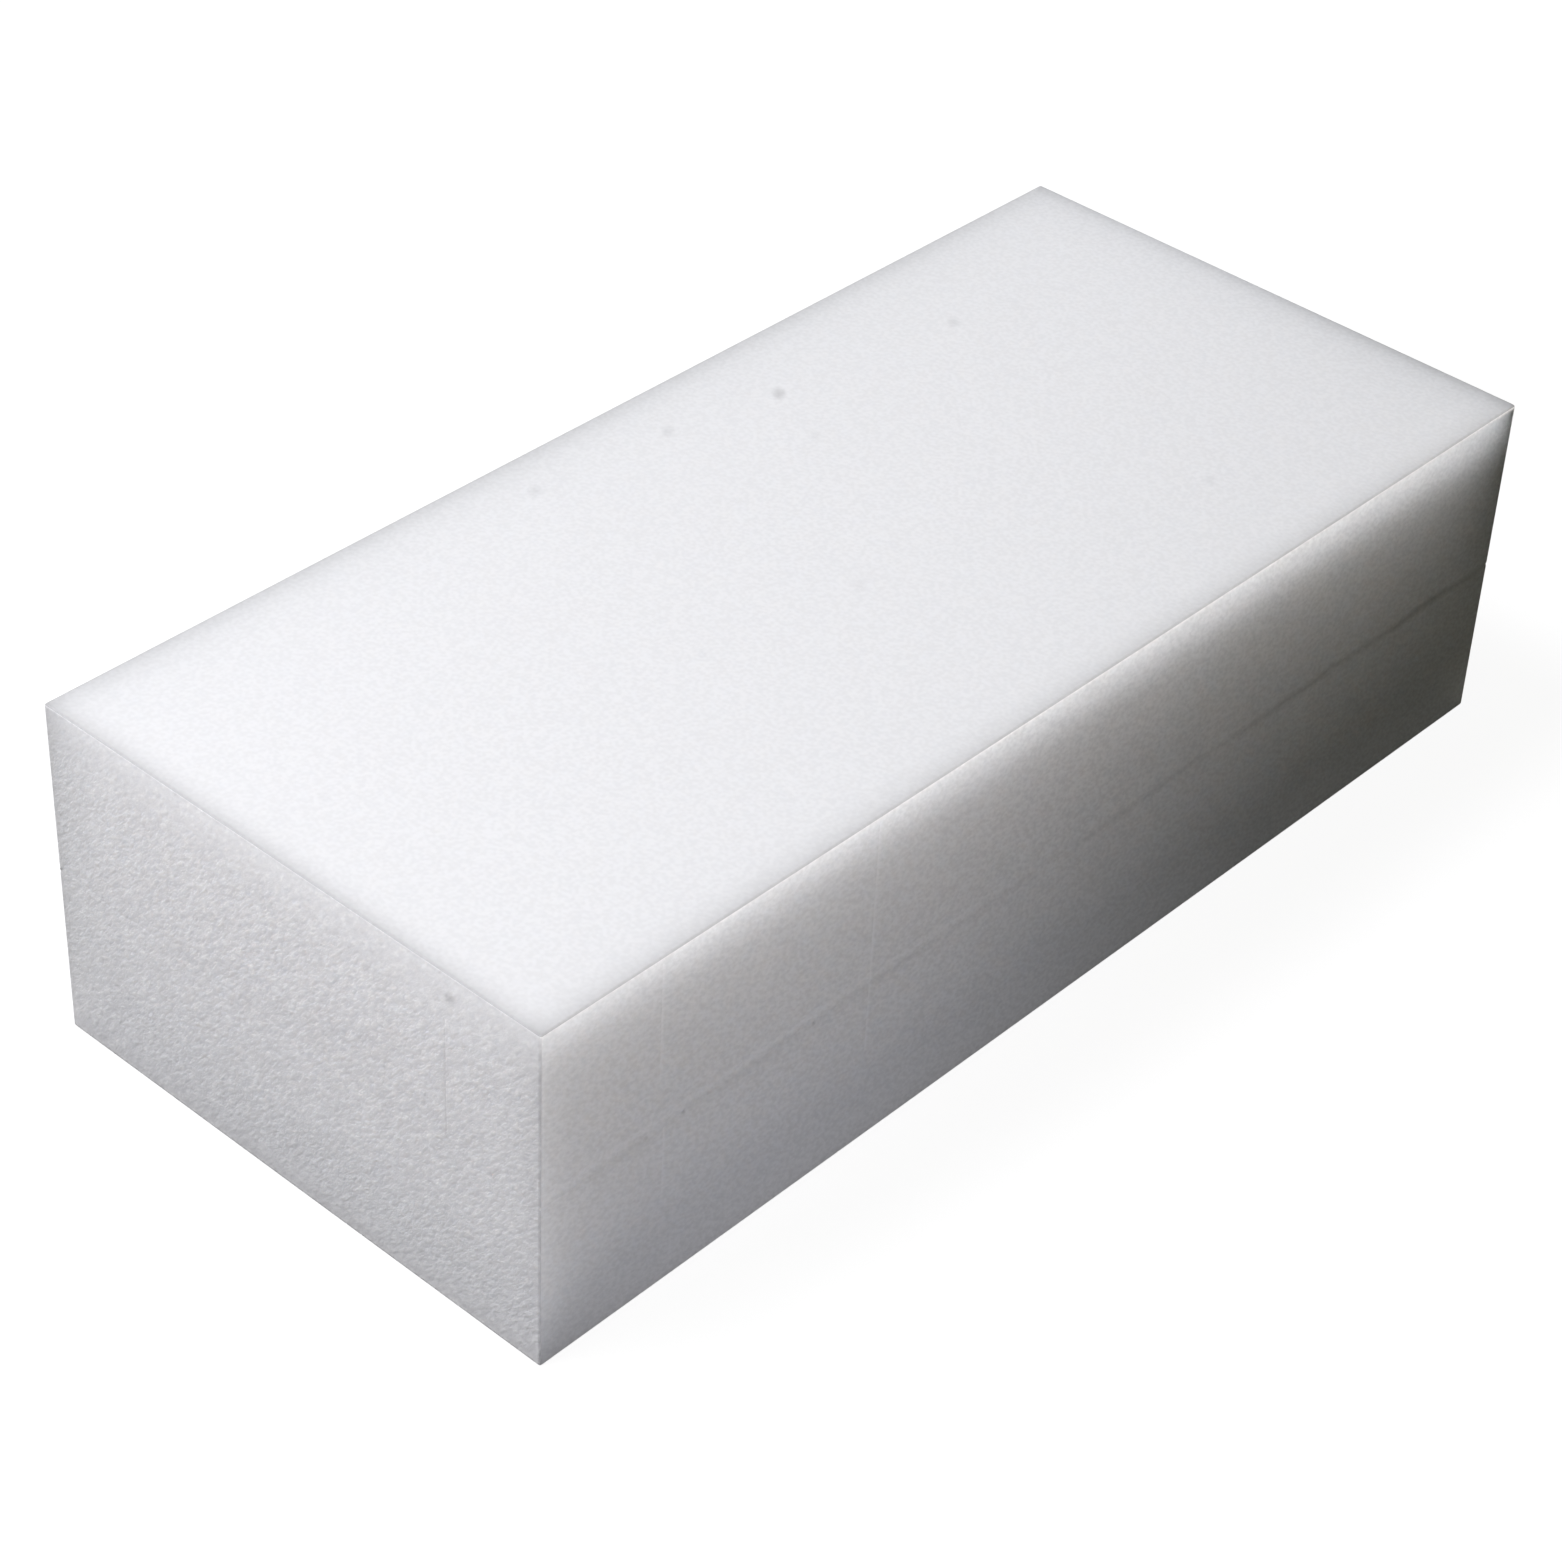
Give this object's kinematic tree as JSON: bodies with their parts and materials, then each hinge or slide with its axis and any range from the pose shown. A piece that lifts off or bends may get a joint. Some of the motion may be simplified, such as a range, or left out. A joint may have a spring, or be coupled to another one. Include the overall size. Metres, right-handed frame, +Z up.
{
  "type": "foam block",
  "caption": "Rectangular white polyethylene foam block, welded from sheets with a fine weld line round its cut sides; pads, props, or is cut to fit as packing.",
  "frame": {"origin": "middle of the underside, on the surface that the block lies on", "axes": "+Y along the length, away from the scored near end; +X across the width, towards the scored long side; +Z up through the thickness"},
  "size_m": [0.1, 0.22, 0.06],
  "materials": {
    "white_foam": "matte closed-cell foam: smooth fine-grained skin on top and underneath, cut cells on the four sides"
  },
  "bodies": {
    "root": {"foam_block": "white_foam"}
  },
  "joints": []
}
